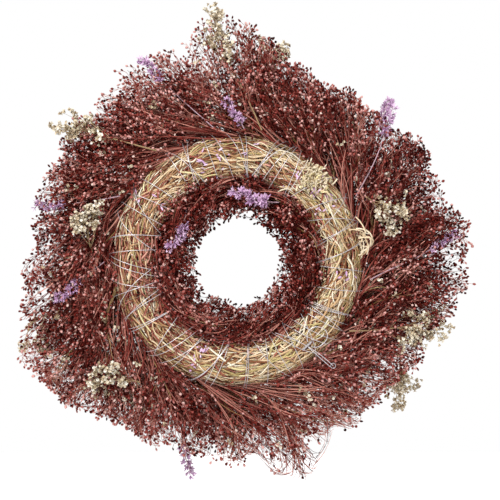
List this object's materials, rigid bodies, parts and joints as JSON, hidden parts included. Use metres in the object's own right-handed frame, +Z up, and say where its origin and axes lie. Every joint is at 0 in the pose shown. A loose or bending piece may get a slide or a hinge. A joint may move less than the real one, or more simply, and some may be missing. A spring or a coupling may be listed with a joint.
{
  "type": "dried flower door wreath",
  "caption": "Round door wreath of dried burgundy, cream and lilac flower bunches wound with wire on a straw ring, with a hanging eye on its flat straw back.",
  "frame": {"origin": "the inner top of the straw ring, where the door hook bears", "axes": "+Z up when the wreath hangs, +Y towards the door, so the bare straw back faces +Y and the flowers face -Y"},
  "size_m": [0.376, 0.1033, 0.3759],
  "materials": {
    "straw": "dry pale straw stalks, matte with a slight sheen along each stalk",
    "thread": "thin matte straw-coloured binding thread",
    "wire": "thin dull silver florist's wire",
    "burgundy": "dry burgundy-dyed seed heads on red-brown stems, matte and dusty",
    "cream": "small dry cream flowers with greenish-yellow cups, papery",
    "lilac": "thin dry pinkish lilac petals, papery"
  },
  "bodies": {
    "root": {"straw_ring": "straw", "straw_ends": "straw", "base_thread": "thread", "binding_wire": "wire", "tie_wire": "wire", "hanging_eye": "wire", "outer_bunch_01": "burgundy", "outer_bunch_02": "burgundy", "outer_bunch_03": "burgundy", "outer_bunch_04": "burgundy", "outer_bunch_05": "burgundy", "outer_bunch_06": "burgundy", "outer_bunch_07": "burgundy", "outer_bunch_08": "burgundy", "outer_bunch_09": "burgundy", "outer_bunch_10": "burgundy", "outer_bunch_11": "burgundy", "outer_bunch_12": "burgundy", "outer_bunch_13": "burgundy", "outer_bunch_14": "burgundy", "outer_bunch_15": "burgundy", "outer_bunch_16": "burgundy", "front_bunch_01": "burgundy", "front_bunch_02": "burgundy", "front_bunch_03": "burgundy", "front_bunch_04": "burgundy", "front_bunch_05": "burgundy", "front_bunch_06": "burgundy", "front_bunch_07": "burgundy", "front_bunch_08": "burgundy", "front_bunch_09": "burgundy", "front_bunch_10": "burgundy", "inner_bunch_01": "burgundy", "inner_bunch_02": "burgundy", "inner_bunch_03": "burgundy", "inner_bunch_04": "burgundy", "inner_bunch_05": "burgundy", "inner_bunch_06": "burgundy", "inner_bunch_07": "burgundy", "inner_bunch_08": "burgundy", "inner_bunch_09": "burgundy", "cream_sprig_01": "cream", "cream_sprig_02": "cream", "cream_sprig_03": "cream", "cream_sprig_04": "cream", "cream_sprig_05": "cream", "cream_sprig_06": "cream", "cream_sprig_07": "cream", "cream_sprig_08": "cream", "cream_sprig_09": "cream", "lilac_spike_01": "lilac", "lilac_spike_02": "lilac", "lilac_spike_03": "lilac", "lilac_spike_04": "lilac", "lilac_spike_05": "lilac", "lilac_spike_06": "lilac", "lilac_spike_07": "lilac", "lilac_spike_08": "lilac", "lilac_spike_09": "lilac", "lilac_spike_10": "lilac"}
  },
  "joints": []
}
